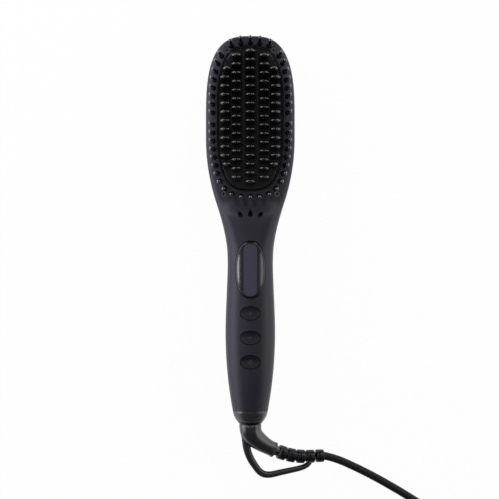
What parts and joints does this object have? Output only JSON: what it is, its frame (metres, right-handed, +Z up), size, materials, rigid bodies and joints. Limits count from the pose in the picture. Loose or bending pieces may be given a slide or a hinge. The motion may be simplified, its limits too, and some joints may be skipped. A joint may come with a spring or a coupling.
{
  "type": "heated hair straightening brush",
  "caption": "Paddle-headed heated hair brush with capped bristle blades on a hot plate, a ring of comb pegs, push buttons, a display window and a swivelling cord.",
  "frame": {"origin": "on the surface the brush lies on, under the middle of the body's box, measured without the cord and its swivelling guard", "axes": "+Z up from that surface, through the bristles; +Y along the body towards the head; +X to the right with the bristles facing the viewer"},
  "size_m": [0.1983, 0.4386, 0.04],
  "materials": {
    "soft_touch_shell": "soft-touch coating, fine matte",
    "gloss_cap": "polished moulding",
    "screw_steel": "plated",
    "coated_plate": "ceramic-filled coating, satin",
    "bristle_cap": "polished heat-proof moulding",
    "heat_proof_frame": "glass-filled moulding",
    "comb_peg": "polished moulding",
    "heater_ceramic": "fired ceramic in foil",
    "clamp_steel": "rolled sheet",
    "sensor_metal": "drawn case",
    "shield_sheet": "pressed mica sheet",
    "lead_insulation": "silicone insulation",
    "potted_module": "moulded case",
    "outlet_black": "polished moulding",
    "display_window": "dark tinted, polished",
    "circuit_board": "solder mask on glass laminate",
    "button_key": "soft-touch coating with a printed mark",
    "switch_plastic": "moulded",
    "bearing_plastic": "unfilled acetal",
    "contact_brass": "rolled and stamped",
    "guard_rubber": "moulded elastomer, satin",
    "cord_sheath": "extruded elastomer sheath",
    "tie_strap": "moulded strap",
    "plug_rubber": "moulded elastomer"
  },
  "bodies": {
    "handle": {"front_shell": "soft_touch_shell", "rear_shell": "soft_touch_shell", "tail_cap": "gloss_cap", "head_screws": "screw_steel", "heating_plate": "coated_plate", "bristle_caps": "bristle_cap", "plate_frame": "heat_proof_frame", "peg_ring": "comb_peg", "ptc_elements": "heater_ceramic", "heater_clamp": "clamp_steel", "clamp_screws": "screw_steel", "thermal_fuse": "sensor_metal", "ntc_sensor": "sensor_metal", "heat_shield": "shield_sheet", "heater_leads": "lead_insulation", "ion_module": "potted_module", "ion_needles": "screw_steel", "outlet_insert": "outlet_black", "display_lens": "display_window", "display_module": "potted_module", "control_board": "circuit_board", "board_screws": "screw_steel", "board_components": "potted_module", "tact_switches": "potted_module", "swivel_bush": "bearing_plastic", "contact_springs": "contact_brass"},
    "up_key": {"button_up": "button_key", "switch_stem_up": "switch_plastic"},
    "down_key": {"button_down": "button_key", "switch_stem_down": "switch_plastic"},
    "power_key": {"button_power": "button_key", "switch_stem_power": "switch_plastic"},
    "swivel": {"swivel_stem": "bearing_plastic", "swivel_clip": "clamp_steel", "slip_rings": "contact_brass", "cord_guard": "guard_rubber", "hanging_loop": "guard_rubber", "power_cord": "cord_sheath", "cord_coil": "cord_sheath", "cord_tie": "tie_strap", "plug_body": "plug_rubber", "plug_blades": "contact_brass"}
  },
  "joints": [
    {"name": "up_press", "type": "slide", "parent": "handle", "child": "up_key", "axis": [0, 0, -1], "range_m": [0, 0.0005], "stiffness_N_per_m": 800, "springref_m": -0.001},
    {"name": "down_press", "type": "slide", "parent": "handle", "child": "down_key", "axis": [0, 0, -1], "range_m": [0, 0.0005], "stiffness_N_per_m": 800, "springref_m": -0.001},
    {"name": "power_press", "type": "slide", "parent": "handle", "child": "power_key", "axis": [0, 0, -1], "range_m": [0, 0.0005], "stiffness_N_per_m": 800, "springref_m": -0.001},
    {"name": "cord_swivel", "type": "hinge", "parent": "handle", "child": "swivel", "pos_m": [0, -0.125, 0.017], "axis": [0, 1, 0], "continuous": true}
  ]
}
